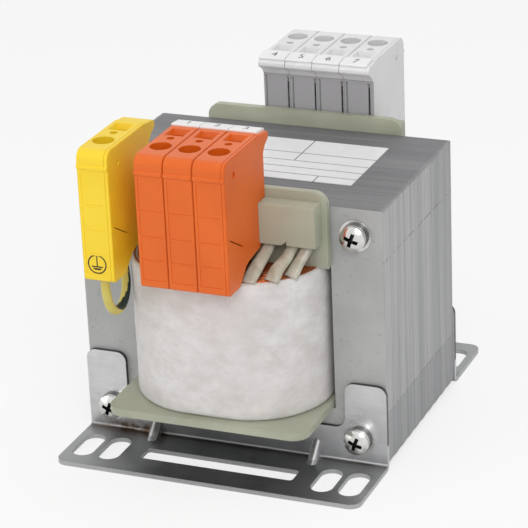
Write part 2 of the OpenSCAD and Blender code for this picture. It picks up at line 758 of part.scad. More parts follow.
// Flattened sleeves, from the coil's top to inside the rail
module primary_sleeves() {
    color([0.92, 0.93, 0.88]) at_front() for (way = SLEEVE_WAYS) {
        end = [way[len(way) - 1].x, lane_u, sleeve_end];
        tube(concat([[way[0].x, way[0].y, coil_hi]], [for (p = way) p + [0, 0, rail_lo]], [end - [0, 0, 0.4], end]),
             sleeve_w, [1, 0, 0], sleeve_t);
    }
}

// Bare wires, from the sleeves along the rail's hollow and down to the solder tags
module primary_leads() {
    color([0.85, 0.6, 0.4]) at_front() for (k = [0:2]) {
        x0 = SLEEVE_WAYS[k][len(SLEEVE_WAYS[k]) - 1].x;
        x1 = pole_x(primary_first + 2 - k);
        lane = sleeve_end + 1 + k * lane_step;
        z1 = solder_z + 1.3;
        tube([[x0, lane_u, sleeve_end], [x0, lane_u, lane - 0.5], [x0 - 0.2, lane_u, lane - 0.15], [x0 - 0.6, lane_u, lane],
              [x1 + 0.6, lane_u, lane], [x1 + 0.2, lane_u, lane - 0.15], [x1, lane_u, lane - 0.5], [x1, lane_u, z1 + 0.8],
              [x1, lane_u + 0.3, z1 + 0.2], [x1, lane_u + 0.9, z1], [x1, solder_u - bar_t / 2 - 0.6, z1],
              [x1, solder_u - bar_t / 2, z1]], wire_d, [1, 1, 1]);
    }
}

// At the back each lead goes straight up from the coil to the side of its solder tag
module secondary_leads() {
    color([0.92, 0.93, 0.88]) at_rear() for (i = [secondary_first:secondary_first + 3])
        translate([pole_x(i), solder_u, 0]) mirror([1, 0, 0])
            tube(concat([[SHORT_WAY[0].x, 0, coil_hi]], [for (p = SHORT_WAY) p + [0, 0, solder_z]]), sleeve_d, [1, 1, 1]);
}

// Where the earth lead runs into the lug's barrel, t away from the bolt
function lug_way(t) = [-bolt_x + t * cos(lug_turn), barrel_u, bolt_z[1] - t * sin(lug_turn)];

module earth_lead() {
    x = pole_x(earth_pole);
    end = lug_reach + barrel_l;
    color([0.8, 0.8, 0.25]) at_front() tube(concat(
        [[x, earth_lead_u, bar_lo]],
        [for (p = EARTH_DROP) p + [x, earth_lead_u, 0]],
        [for (p = EARTH_RISE) p + [x, 0, 0]],
        [lug_way(end + 1), lug_way(end), lug_way(end - barrel_deep)]), earth_lead_d, [1, 0.3, 0.2]);
}

// Ring lug under the upper left bolt, with its barrel towards the lead
module earth_lug() {
    wide = 3.2;
    color("silver") translate([-bolt_x, 0, bolt_z[1]]) at_front() difference() {
        union() {
            ring(lug_d, bolt_d + 2 * hole_clear, lug_t);
            rotate([0, lug_turn, 0]) translate([lug_d / 2 - 0.6, 0, -wide / 2])
                cube([lug_reach + 1.6 - lug_d / 2, lug_t, wide]);
            rotate([0, lug_turn, 0]) translate([lug_reach, barrel_u, 0]) rotate([0, 90, 0])
                cylinder(h = barrel_l, d = earth_lead_d + 1.4);
        }
        rotate([0, lug_turn, 0]) translate([lug_reach + barrel_l - barrel_deep, barrel_u, 0]) rotate([0, 90, 0])
            cylinder(h = barrel_l, d = earth_lead_d + 0.3);
    }
}

module rating_label() {
    x1 = 2 * lam_a + 0.4;
    color("white") translate([x1 - label_l, 2 - label_w / 2, core_top]) cube([label_l, label_w, label_t]);
}

e_laminations();
i_laminations();
bobbin();
primary_winding();
winding_insulation();
secondary_winding();
outer_wrap();
front_foot();
rear_foot();
core_bolts();
flat_washers();
spring_washers();
hex_nuts();
primary_housing(1);  // primary_housing_1
primary_housing(2);  // primary_housing_2
primary_housing(3);  // primary_housing_3
primary_end_cover();
earth_housing();
earth_end_cover();
secondary_housing(4);  // secondary_housing_4
secondary_housing(5);  // secondary_housing_5
secondary_housing(6);  // secondary_housing_6
secondary_housing(7);  // secondary_housing_7
secondary_end_cover();
clamp_screws();
wire_clamps();
contact_bars();
front_tag(1);  // marker_tag_1
front_tag(2);  // marker_tag_2
front_tag(3);  // marker_tag_3
rear_tag(4);  // marker_tag_4
rear_tag(5);  // marker_tag_5
rear_tag(6);  // marker_tag_6
rear_tag(7);  // marker_tag_7
primary_sleeves();
primary_leads();
secondary_leads();
earth_lead();
earth_lug();
rating_label();
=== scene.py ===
import bpy, bmesh, json, math
from mathutils import Matrix, Vector, noise

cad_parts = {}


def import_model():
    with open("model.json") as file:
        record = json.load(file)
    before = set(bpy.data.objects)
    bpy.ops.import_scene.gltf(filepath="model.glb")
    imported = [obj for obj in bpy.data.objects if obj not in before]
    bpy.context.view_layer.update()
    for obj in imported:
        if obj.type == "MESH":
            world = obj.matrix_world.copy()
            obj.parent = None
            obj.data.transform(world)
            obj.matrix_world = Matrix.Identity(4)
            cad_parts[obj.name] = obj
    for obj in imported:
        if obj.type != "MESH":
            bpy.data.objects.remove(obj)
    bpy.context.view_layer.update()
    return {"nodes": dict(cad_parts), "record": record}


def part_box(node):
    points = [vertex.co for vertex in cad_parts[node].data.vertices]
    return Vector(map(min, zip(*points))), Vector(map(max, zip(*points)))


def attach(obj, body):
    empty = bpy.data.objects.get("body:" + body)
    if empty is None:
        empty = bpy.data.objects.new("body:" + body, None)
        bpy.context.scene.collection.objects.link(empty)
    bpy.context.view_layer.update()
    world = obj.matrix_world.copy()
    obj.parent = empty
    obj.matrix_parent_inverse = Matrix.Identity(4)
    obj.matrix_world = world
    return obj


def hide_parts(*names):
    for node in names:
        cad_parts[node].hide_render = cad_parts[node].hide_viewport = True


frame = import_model()
rec = frame["record"]
MM = 0.001

# the photograph's camera: size and focal length in pixels, angles in degrees, place in mm
PHOTO_PX, F_PX = 528.0, 2515.816
CAM_AZ, CAM_EL, CAM_ROLL = 23.1443, 22.5324, -2.5088
CAM_AT = (242.6116, -572.0167, 299.442)
SENSOR = 36.0
# the core, in mm: half its stack, the width of its outer limb, one drawn sheet
FACE_Y = 27.0
LIMB = 14
SHEET = 0.5
# the bolts, in mm: axis from the middle, height of the lower row, rise to the upper one,
# a height between the two rows, reach of the painted shade in the cross
BOLT_X, BOLT_LOW, BOLT_RISE, BOLT_SPLIT, CROSS_R = 35, 8.4, 56, 36, 2.15
# corner radius of the coil, in mm
COIL_R = 20.5
# the sleeves: half their width in mm, and thickness over width
SLEEVE_R, SLEEVE_FLAT = 1.8, 0.52
# the earth lead: radius in mm, start and turn of its stripe and half the stripe's width in degrees
EARTH_R, EARTH_SIDES, EARTH_TURN, STRIPE_HALF = 1.2, 24, (90, 330), 62
# print: thickness and height of a digit in mm, slope of a tag,
# and depth of its middle under its highest edge in mm
PRINT_T, DIGIT_H, TAG_SLOPE, TAG_DEEP = 0.015, 3.4, 0.1, 0.24
# what the camera sees of the floor's own white, and the world's strength on the object
FLOOR_GLOW, WORLD_LIGHT = 0.72, 0.5
FLOOR_HALF, FLOOR_Z = 6.0, -0.0001
LIGHT_AIM = (0, 0, 0.04)
# name, place, size and power of each lamp
LIGHTS = (("key", (0.40, -0.75, 0.70), 0.5, 4.0),
          ("fill", (-0.75, -0.50, 0.35), 0.6, 1.4),
          ("top", (0.05, 0.10, 1.00), 0.6, 2.0))


# ---------------------------------------------------------------- camera
def add_camera():
    az, el, roll = (math.radians(a) for a in (CAM_AZ, CAM_EL, CAM_ROLL))
    back = Vector((math.sin(az) * math.cos(el), -math.cos(az) * math.cos(el), math.sin(el)))
    right = Vector((0, 0, 1)).cross(back).normalized()
    up = back.cross(right)
    x = right * math.cos(roll) + up * math.sin(roll)
    y = -right * math.sin(roll) + up * math.cos(roll)
    cam = bpy.data.cameras.new("camera")
    cam.sensor_width = SENSOR
    cam.lens = F_PX * SENSOR / PHOTO_PX
    cam.clip_start, cam.clip_end = 0.01, 50.0
    ob = bpy.data.objects.new("camera", cam)
    m = Matrix((x, y, back)).transposed().to_4x4()
    m.translation = Vector(CAM_AT) * MM
    ob.matrix_world = m
    bpy.context.scene.collection.objects.link(ob)
    bpy.context.scene.camera = ob


add_camera()


# ---------------------------------------------------------------- node helpers
class Mat:
    """A Principled material with short calls for its nodes."""

    def __init__(self, name, color, rough=0.5, metal=0.0, **sockets):
        self.m = bpy.data.materials.new(name)
        self.m.use_nodes = True
        self.m.diffuse_color = (*color, 1)
        self.t = self.m.node_tree
        self.b = self.t.nodes["Principled BSDF"]
        self.b.inputs["Base Color"].default_value = (*color, 1)
        self.b.inputs["Roughness"].default_value = rough
        self.b.inputs["Metallic"].default_value = metal
        for k, v in sockets.items():
            self.b.inputs[k.replace("_", " ")].default_value = v
        self._pos = None

    def node(self, kind, **props):
        n = self.t.nodes.new(kind)
        for k, v in props.items():
            setattr(n, k, v)
        return n

    def put(self, sock, v):
        if isinstance(v, bpy.types.NodeSocket):
            self.t.links.new(v, sock)
        else:
            sock.default_value = v

    def pos(self):
        if self._pos is None:
            self._pos = self.node("ShaderNodeTexCoord").outputs["Object"]
        return self._pos

    def xyz(self, v=None):
        s = self.node("ShaderNodeSeparateXYZ")
        self.put(s.inputs[0], v or self.pos())
        return s.outputs

    def normal(self):
        return self.xyz(self.node("ShaderNodeNewGeometry").outputs["Normal"])

    def math(self, op, a, b=0.0, c=0.0, clamp=False):
        n = self.node("ShaderNodeMath", operation=op, use_clamp=clamp)
        for i, v in enumerate((a, b, c)):
            if i < len(n.inputs):
                self.put(n.inputs[i], v)
        return n.outputs[0]

    def add(self, a, b):
        return self.math("ADD", a, b)

    def sub(self, a, b):
        return self.math("SUBTRACT", a, b)

    def mul(self, a, b, clamp=False):
        return self.math("MULTIPLY", a, b, clamp=clamp)

    def abs(self, a):
        return self.math("ABSOLUTE", a)

    def less(self, a, b):
        return self.math("LESS_THAN", a, b)

    def more(self, a, b):
        return self.math("GREATER_THAN", a, b)

    def scaled(self, sx, sy, sz):
        n = self.node("ShaderNodeVectorMath", operation="MULTIPLY")
        self.put(n.inputs[0], self.pos())
        n.inputs[1].default_value = (sx, sy, sz)
        return n.outputs[0]

    def noise(self, scale, detail=3.0, rough=0.55, vec=None):
        n = self.node("ShaderNodeTexNoise")
        self.put(n.inputs["Vector"], vec or self.pos())
        n.inputs["Scale"].default_value = scale
        n.inputs["Detail"].default_value = detail
        n.inputs["Roughness"].default_value = rough
        return n.outputs["Fac"]

    def white(self, w):
        n = self.node("ShaderNodeTexWhiteNoise", noise_dimensions="1D")
        self.put(n.inputs["W"], w)
        return n.outputs["Value"]

    def mix(self, fac, a, b, blend="MIX"):
        n = self.node("ShaderNodeMix", data_type="RGBA", blend_type=blend)
        self.put(n.inputs["Factor"], fac)
        for i, v in ((6, a), (7, b)):
            if isinstance(v, tuple):
                n.inputs[i].default_value = (*v, 1)
            else:
                self.put(n.inputs[i], v)
        return n.outputs[2]

    def range(self, v, a, b, c=0.0, d=1.0):
        n = self.node("ShaderNodeMapRange")
        for i, x in enumerate((v, a, b, c, d)):
            self.put(n.inputs[i], x)
        return n.outputs[0]

    def color(self, c):
        self.put(self.b.inputs["Base Color"], c)
        return self

    def rough(self, r):
        self.put(self.b.inputs["Roughness"], r)
        return self

    def bump(self, height, strength=0.3, distance=0.0002):
        n = self.node("ShaderNodeBump")
        n.inputs["Strength"].default_value = strength
        n.inputs["Distance"].default_value = distance
        self.put(n.inputs["Height"], height)
        self.t.links.new(n.outputs[0], self.b.inputs["Normal"])
        return self


def srgb(r, g, b):
    f = lambda c: (c / 255 / 12.92) if c <= 10 else ((c / 255 + 0.055) / 1.055) ** 2.4
    return (f(r), f(g), f(b))


# ---------------------------------------------------------------- materials
def core_material():
    """Sheet edges as fine lines on sides and top, plain annealed sheet on the two faces."""
    m = Mat("core_steel", srgb(172, 173, 174), 0.5, 0.35)
    lo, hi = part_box("e_laminations")
    x, y, z = m.xyz()
    _, ny, nz = m.normal()
    face = m.more(m.abs(ny), 0.6)
    top = m.more(m.abs(nz), 0.6)
    sheet = m.math("DIVIDE", y, SHEET * MM)
    index = m.math("FLOOR", sheet)
    frac = m.math("FRACT", sheet)
    gap = m.range(m.abs(m.sub(frac, 0.5)), 0.28, 0.48)
    tint = m.white(index)
    wide = m.noise(1, 2, 0.5, m.scaled(8, 150, 8))
    streak = m.noise(1, 4, 0.62, m.scaled(25, 900, 25))
    cloud = m.noise(45, 5, 0.6)
    speck = m.noise(900, 2, 0.5)
    # sides: soft light grey bands and hair lines
    side = m.mix(m.range(wide, 0.32, 0.68), srgb(158, 159, 161), srgb(188, 188, 188))
    side = m.mix(m.mul(m.range(streak, 0.38, 0.72), 0.4), side, srgb(142, 143, 145))
    side = m.mix(m.mul(tint, 0.22), side, srgb(196, 196, 197))
    side = m.mix(m.mul(m.mul(gap, tint), 0.30), side, srgb(96, 97, 100))
    low = m.less(z, lo[2] + LIMB * MM)
    side = m.mix(m.mul(low, 0.32), side, srgb(128, 129, 132))
    # joints between E and I sheets, as broken dark lines
    for zj, k in ((hi[2] - LIMB * MM, 0.62), (lo[2] + LIMB * MM, 0.38)):
        near = m.range(m.abs(m.sub(z, zj)), 0.08 * MM, 0.22 * MM, 1.0, 0.0)
        dash = m.more(m.white(m.math("FLOOR", m.math("DIVIDE", y, 0.9 * MM))), 0.42)
        side = m.mix(m.mul(m.mul(near, dash), k, clamp=True), side, srgb(48, 48, 50))
    # saw tooth along the upper edges, one tooth a sheet
    tooth = m.mul(m.less(frac, 0.5), m.range(y, 12 * MM, 24 * MM, 1.0, 0.25))
    rim = m.range(z, hi[2] - 0.75 * MM, hi[2] - 0.25 * MM)
    side = m.mix(m.mul(m.mul(rim, tooth), 0.72), side, srgb(58, 59, 62))
    # top: painted darker than the sides as painted reflection and shade, with lines along the
    # sheets that fade towards the back
    line = m.mul(gap, m.range(y, -4 * MM, 18 * MM, 1.0, 0.25))
    up = m.mix(m.range(wide, 0.3, 0.7), srgb(104, 104, 107), srgb(136, 136, 138))
    up = m.mix(m.mul(tint, 0.30), up, srgb(150, 150, 152))
    up = m.mix(m.mul(line, 0.85), up, srgb(54, 55, 58))
    up = m.mix(m.range(y, 4 * MM, 14 * MM, 0.0, 0.5), up, srgb(118, 118, 121))
    # a lighter rim where the top meets the side, between the teeth: painted highlight
    edge_x = m.range(m.abs(x), 0.0412, 0.0417)
    up = m.mix(m.mul(m.mul(edge_x, m.sub(1.0, tooth)), 0.4), up, srgb(190, 190, 192))
    edge = m.mix(top, side, up)
    plain = m.mix(m.range(cloud, 0.3, 0.7), srgb(164, 165, 164), srgb(184, 185, 184))
    plain = m.mix(m.mul(m.range(speck, 0.64, 0.75), 0.35), plain, srgb(120, 120, 121))
    m.color(m.mix(face, edge, plain))
    m.rough(m.mix(face, m.range(streak, 0.2, 0.8, 0.45, 0.62),
                  m.range(cloud, 0.2, 0.8, 0.42, 0.55)))
    h = m.mul(m.sub(1.0, gap), m.sub(1.0, face))
    h = m.add(h, m.mul(m.add(speck, tint), 0.12))
    return m.bump(h, 0.35, 0.00008).m


def foot_material():
    """Bright zinc on the upright sheet, with painted shade and reflection making the plate darker
    and the cut edges nearly black.
    """
    m = Mat("zinc_sheet", srgb(206, 207, 208), 0.3, 0.85)
    x, y, z = m.xyz()
    _, ny, nz = m.normal()
    ay = m.abs(y)
    brush = m.noise(1, 5, 0.65, m.scaled(60, 900, 900))
    cloud = m.noise(90, 4, 0.6)
    spot = m.noise(1400, 2, 0.5)
    web = m.mix(m.range(cloud, 0.3, 0.7), srgb(196, 197, 199), srgb(222, 222, 224))
    web = m.mix(m.mul(m.range(brush, 0.45, 0.75), 0.16), web, srgb(150, 151, 153))
    # painted shade low in the middle of the upright sheet, under the coil
    dark = m.range(m.abs(x), 19 * MM, 30 * MM, 1.0, 0.0)
    low = m.range(z, 5 * MM, 12 * MM, 1.0, 0.0)
    web = m.mix(m.mul(m.mul(dark, low), 0.62), web, srgb(70, 71, 72))
    # floor plate: painted reflection and shade, dark in the middle and by the fold, lighter to the
    # ends
    plate = m.mix(m.range(cloud, 0.3, 0.7), srgb(92, 94, 95), srgb(118, 120, 121))
    ends = m.range(m.abs(x), 14 * MM, 40 * MM)
    plate = m.mix(m.mul(ends, 0.62), plate, srgb(170, 171, 171))
    # painted shade in the fold, under the coil's flange
    fold = m.range(ay, 28.5 * MM, 33 * MM, 1.0, 0.0)
    plate = m.mix(m.mul(fold, 0.5), plate, srgb(62, 60, 56))
    flat = m.mul(m.range(nz, 0.3, 0.8), m.less(z, 2.2 * MM))
    c = m.mix(flat, web, plate)
    # outer rim of the plate catches the light
    rim = m.mul(m.less(nz, 0.5), m.less(z, 1.3 * MM))
    c = m.mix(m.mul(rim, 0.8), c, srgb(176, 177, 178))
    # painted shade on the edges of the upright sheet
    edge_shade = m.mul(m.less(m.abs(ny), 0.4), m.more(z, 7 * MM))
    c = m.mix(m.mul(edge_shade, 0.9), c, srgb(38, 39, 42))
    # brown stain in the fold of the front foot, at its left end
    near = m.range(m.abs(m.add(x, 30 * MM)), 4 * MM, 14 * MM, 1.0, 0.0)
    band = m.range(m.abs(m.sub(z, 2.0 * MM)), 0.4 * MM, 3.2 * MM, 1.0, 0.0)
    front = m.range(y, -31.5 * MM, -29 * MM)
    s = m.mul(m.mul(near, band), m.mul(front, m.less(y, 0.0)))
    s = m.mul(s, m.range(m.noise(420, 3), 0.25, 0.55))
    c = m.mix(m.mul(s, 0.9, clamp=True), c, srgb(84, 62, 40))
    m.color(c)
    m.rough(m.range(m.add(brush, cloud), 0.7, 1.3, 0.26, 0.42))
    return m.bump(m.add(brush, m.mul(spot, 0.25)), 0.12, 0.0001).m


def plastic(name, rgb, shade, rough=0.42, sss=0.0, grain=0.08):
    m = Mat(name, srgb(*rgb), rough, 0.0, IOR=1.5)
    if sss:
        m.b.inputs["Subsurface Weight"].default_value = sss
        m.b.inputs["Subsurface Radius"].default_value = (1.0, 0.9, 0.6)
        m.b.inputs["Subsurface Scale"].default_value = 0.002
    cloud = m.noise(70, 3, 0.5)
    fine = m.noise(2600, 2, 0.5)
    c = m.mix(m.range(cloud, 0.3, 0.7), srgb(*shade), srgb(*rgb))
    m.color(c)
    m.rough(m.range(fine, 0.3, 0.7, rough - 0.05, rough + 0.08))
    return m.bump(fine, grain, 0.00005).m


def copper_material():
    m = Mat("copper_wire", srgb(190, 92, 44), 0.3, 0.75)
    tint = m.noise(300, 3)
    fine = m.noise(1500, 2)
    c = m.mix(tint, srgb(122, 52, 26), srgb(222, 120, 62))
    m.color(m.mix(m.mul(m.range(fine, 0.5, 0.7), 0.4), c, srgb(70, 30, 16)))
    return m.bump(fine, 0.2, 0.0001).m


def wrap_material():
    """Fleece film round the coil: mottled off-white with short fibres."""
    m = Mat("wrap_film", srgb(214, 211, 210), 0.6, 0.0, IOR=1.45)
    m.b.inputs["Sheen Weight"].default_value = 0.05
    blotch = m.noise(150, 5, 0.62, m.scaled(1, 1, 1.5))
    fibre = m.noise(560, 4, 0.7, m.scaled(1, 1, 2.4))
    big = m.noise(34, 2, 0.5)
    c = m.mix(m.range(blotch, 0.36, 0.66), srgb(203, 199, 197), srgb(222, 220, 220))
    c = m.mix(m.mul(m.range(fibre, 0.52, 0.74), 0.42), c, srgb(192, 186, 182))
    c = m.mix(m.mul(m.range(big, 0.46, 0.7), 0.35), c, srgb(214, 206, 204))
    c = m.mix(m.mul(m.range(m.noise(240, 3, 0.5), 0.6, 0.72), 0.30), c, srgb(228, 224, 212))
    m.color(c)
    m.rough(m.range(blotch, 0.3, 0.7, 0.5, 0.7))
    return m.bump(m.add(blotch, m.mul(fibre, 0.5)), 0.22, 0.00016).m


def sleeve_material():
    m = Mat("clear_sleeve", srgb(214, 212, 196), 0.32, 0.0, IOR=1.42)
    m.b.inputs["Transmission Weight"].default_value = 0.35
    m.b.inputs["Coat Weight"].default_value = 0.2
    n = m.noise(420, 4, 0.6, m.scaled(1, 1, 0.5))
    m.color(m.mix(m.range(n, 0.35, 0.7), srgb(192, 187, 166), srgb(226, 224, 208)))
    return m.bump(n, 0.2, 0.0002).m


def lead_material(name, light, dark):
    m = Mat(name, srgb(*light), 0.34, 0.0, IOR=1.5)
    n = m.noise(500, 3)
    m.color(m.mix(n, srgb(*dark), srgb(*light)))
    m.rough(m.range(n, 0.3, 0.7, 0.28, 0.4))
    return m.bump(n, 0.08, 0.0001).m


def label_material():
    """White film with a generic ruled grid of empty cells."""
    m = Mat("label_film", srgb(236, 236, 237), 0.34, 0.0, IOR=1.46, Coat_Weight=0.15)
    lo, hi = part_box("rating_label")
    x, y, _ = m.xyz()
    u = m.range(x, lo[0], hi[0])
    v = m.range(y, lo[1], hi[1])
    ink = None
    for val, rows in ((u, (0.60, 0.80)), (v, (0.14, 0.30, 0.46, 0.66))):
        for k in rows:
            w = 0.0032 if val is u else 0.0060
            line = m.less(m.abs(m.sub(val, k)), w)
            if k == 0.60:
                line = m.mul(line, m.more(v, 0.46))
            if k == 0.80:
                line = m.mul(line, m.less(v, 0.14))
            ink = line if ink is None else m.math("MAXIMUM", ink, line)
    n = m.noise(300, 3)
    paper = m.mix(n, srgb(230, 230, 232), srgb(243, 243, 244))
    m.color(m.mix(m.mul(ink, 0.85), paper, srgb(60, 62, 66)))
    return m.bump(n, 0.05, 0.0001).m


def bolt_material(name, light, dark, rough=0.25, cross=False):
    m = Mat(name, srgb(*light), rough, 0.95)
    n = m.noise(260, 4, 0.6)
    f = m.noise(3000, 2, 0.5)
    c = m.mix(m.range(n, 0.3, 0.7), srgb(*dark), srgb(*light))
    if cross:
        # the driver cross is painted dark inside as painted shade
        lo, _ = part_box("core_bolts")
        x, y, z = m.xyz()
        dx = m.sub(m.abs(x), BOLT_X * MM)
        up = m.more(z, BOLT_SPLIT * MM)
        zc = m.add(BOLT_LOW * MM, m.mul(up, BOLT_RISE * MM))
        dz = m.sub(z, zc)
        r2 = m.add(m.mul(dx, dx), m.mul(dz, dz))
        inside = m.less(r2, (CROSS_R * MM) ** 2)
        left = m.less(x, 0.0)
        top_y = m.add(lo[1], m.mul(up, m.sub(1.2 * MM, m.mul(left, 0.8 * MM))))
        deep = m.more(y, m.add(top_y, 0.5 * MM))
        cross_shade = m.mul(m.mul(inside, deep), m.less(y, 0.0))
        c = m.mix(cross_shade, c, srgb(14, 14, 15))
        m.put(m.b.inputs["Metallic"], m.sub(0.95, m.mul(cross_shade, 0.95)))
    m.color(c)
    m.rough(m.range(f, 0.3, 0.7, rough - 0.06, rough + 0.08))
    return m.bump(f, 0.08, 0.00005).m


def housing_grey():
    """Pale grey moulding, with painted shade darkening the flanks that look towards the core."""
    m = Mat("grey_plastic", srgb(226, 226, 227), 0.42, 0.0, IOR=1.5)
    lo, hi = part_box("secondary_housing_4")
    _, y, z = m.xyz()
    ny = m.normal()[1]
    cloud = m.noise(70, 3, 0.5)
    fine = m.noise(2600, 2, 0.5)
    c = m.mix(m.range(cloud, 0.3, 0.7), srgb(222, 222, 223), srgb(231, 231, 231))
    # painted shade on the flanks that face the core
    flank_shade = m.mul(m.less(ny, -0.8), m.less(z, hi[2] - 5.4 * MM))
    flank_shade = m.mul(flank_shade, m.less(y, lo[1] + 12 * MM))
    c = m.mix(flank_shade, c, srgb(164, 163, 166))
    m.color(c)
    m.rough(m.range(fine, 0.3, 0.7, 0.38, 0.5))
    return m.bump(fine, 0.08, 0.00005).m


def bobbin_material():
    """Milky nylon that lets a little of what is behind it show."""
    m = Mat("bobbin_plastic", srgb(206, 208, 186), 0.36, 0.0, IOR=1.4)
    m.b.inputs["Transmission Weight"].default_value = 0.4
    m.b.inputs["Subsurface Weight"].default_value = 0.2
    m.b.inputs["Subsurface Radius"].default_value = (1.0, 0.95, 0.7)
    m.b.inputs["Subsurface Scale"].default_value = 0.0015
    cloud = m.noise(60, 3, 0.5)
    fine = m.noise(2200, 2, 0.5)
    m.color(m.mix(m.range(cloud, 0.3, 0.7), srgb(194, 197, 176), srgb(214, 216, 196)))
    m.rough(m.range(fine, 0.3, 0.7, 0.3, 0.42))
    return m.bump(fine, 0.06, 0.00005).m


MATS = {
    "core_steel": core_material(),
    "bobbin_plastic": bobbin_material(),
    "copper": copper_material(),
    "insulation_film": plastic("insulation_film", (214, 200, 160), (196, 180, 138), 0.4),
    "wrap_film": wrap_material(),
    "zinc_sheet": foot_material(),
    "plated_steel": bolt_material("plated_steel", (226, 225, 223), (196, 195, 192), 0.2, True),
    "orange_plastic": plastic("orange_plastic", (228, 104, 18), (220, 97, 14), 0.40, 0.04),
    "yellow_plastic": plastic("yellow_plastic", (248, 215, 48), (243, 208, 38), 0.42, 0.04),
    "grey_plastic": housing_grey(),
    "clamp_steel": bolt_material("clamp_steel", (190, 188, 182), (140, 138, 132)),
    "tinned_brass": bolt_material("tinned_brass", (206, 188, 140), (170, 150, 104)),
    "white_plastic": plastic("white_plastic", (240, 240, 240), (232, 232, 232), 0.34, 0.03),
    "clear_sleeve": sleeve_material(),
    "earth_insulation": lead_material("earth_insulation", (214, 200, 104), (198, 182, 84)),
    "tinned_copper": bolt_material("tinned_copper", (204, 202, 196), (160, 158, 152)),
    "label_film": label_material(),
}
EARTH_GREEN = lead_material("earth_green", (36, 54, 46), (18, 28, 26))
SPRING = bolt_material("spring_steel", (132, 132, 134), (84, 84, 86), 0.3)
INK = plastic("print_ink", (58, 44, 24), (44, 34, 20), 0.5)
INK_GREY = plastic("print_ink_grey", (40, 41, 43), (30, 31, 33), 0.5)

slot_of = {s["node"]: s["material_slot"] for s in rec["subparts"]}
for node, ob in frame["nodes"].items():
    if not ob.material_slots:
        ob.data.materials.append(None)
    for s in ob.material_slots:
        s.material = SPRING if node == "spring_washers" else MATS[slot_of[node]]


# ---------------------------------------------------------------- small pieces
def piece(name, bm, mat):
    me = bpy.data.meshes.new(name)
    bm.normal_update()
    bm.to_mesh(me)
    bm.free()
    ob = bpy.data.objects.new(name, me)
    bpy.context.scene.collection.objects.link(ob)
    me.materials.append(mat)
    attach(ob, "root")
    return ob


def flat_poly(bm, pts, depth):
    """A thin prism from a 3D outline, pushed back along depth."""
    a = [bm.verts.new(p) for p in pts]
    b = [bm.verts.new(p + depth) for p in pts]
    n = len(pts)
    bm.faces.new(a)
    bm.faces.new(list(reversed(b)))
    for i in range(n):
        bm.faces.new((a[i], b[i], b[(i + 1) % n], a[(i + 1) % n]))


def ring_print(bm, c, ex, ey, r, w, depth, n=48):
    turn = [2 * math.pi * i / n for i in range(n)]
    a, b = ([c + (ex * math.cos(t) + ey * math.sin(t)) * k for t in turn] for k in (r, r - w))
    for i in range(n):
        j = (i + 1) % n
        flat_poly(bm, [a[i], a[j], b[j], b[i]], depth)


def grid_faces(bm, rows, closed_v=False, caps=False):
    """Quads over a grid of closed vertex rows."""
    n, w = len(rows), len(rows[0])
    out = []
    for i in range(n if closed_v else n - 1):
        a, b = rows[i], rows[(i + 1) % n]
        for k in range(w):
            out.append(bm.faces.new((a[k], a[(k + 1) % w], b[(k + 1) % w], b[k])))
    if caps:
        bm.faces.new(list(reversed(rows[0])))
        bm.faces.new(rows[-1])
    return out


def smooth(ob):
    for p in ob.data.polygons:
        p.use_smooth = True
    return ob


def coil_loop(hx, hy, r, step):
    """Points and outward normals round a rounded rectangle, in mm, anticlockwise."""
    pts = []
    for cx, cy, a0 in ((hx - r, hy - r, 0), (-hx + r, hy - r, 90),
                       (-hx + r, -hy + r, 180), (hx - r, -hy + r, 270)):
        n = max(4, round(r * math.pi / 2 / step))
        for i in range(n + 1):
            a = math.radians(a0 + 90 * i / n)
            pts.append((Vector((cx + r * math.cos(a), cy + r * math.sin(a), 0)),
                        Vector((math.cos(a), math.sin(a), 0))))
    out = []
    for i, (p, nrm) in enumerate(pts):
        q, nq = pts[(i + 1) % len(pts)]
        gap = (q - p).length
        k = max(1, round(gap / step))
        if (q - p).length < 1e-6:
            continue
        for j in range(k):
            out.append((p.lerp(q, j / k), nrm.lerp(nq, j / k).normalized()))
    return out


def wrap_skin():
    """The outer film: a loose skin with its upper and lower edges rolled in over the turns."""
    lo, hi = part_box("outer_wrap")
    hx, hy = hi[0] / MM, hi[1] / MM
    z0, z1 = lo[2] / MM, hi[2] / MM
    loop = coil_loop(hx, hy, COIL_R, 1.1)
    prof = [(2.4, z0 + 0.02), (1.2, z0 + 0.02), (0.5, z0 + 0.08), (0.12, z0 + 0.45)]
    n = 30
    prof += [(0.0, z0 + 1.1 + (z1 - z0 - 2.3) * i / n) for i in range(n + 1)]
    prof += [(0.08, z1 - 0.7), (0.3, z1 - 0.2), (0.68, z1 + 0.08), (1.2, z1 + 0.2),
             (1.9, z1 + 0.2), (2.3, z1 + 0.1), (2.35, z1 + 0.0)]
    bm = bmesh.new()
    rows = []
    for d, z in prof:
        row = []
        side = min(1.0, min(z - z0, z1 - z) / 2.5) if z0 < z < z1 else 0.0
        side = max(0.0, side)
        for p, nrm in loop:
            q = Vector((p.x, p.y, z))
            fine = Vector((q.x, q.y, q.z * 1.7)) * 0.5 + Vector((7, 3, 1))
            a = 0.16 * noise.noise(q * 0.16) + 0.09 * noise.noise(fine)
            a = -0.10 + a * side
            d2 = d - min(a, 0.0) if d < 0.1 else d
            top = 0.10 * noise.noise(q * 0.35) if z > z1 - 0.1 else 0.0
            at = Vector((p.x - nrm.x * d2, p.y - nrm.y * d2, z + max(-0.02, top)))
            row.append(bm.verts.new(at * MM))
        rows.append(row)
    grid_faces(bm, rows)
    ob = smooth(piece("wrap_skin", bm, MATS["wrap_film"]))
    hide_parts("outer_wrap")


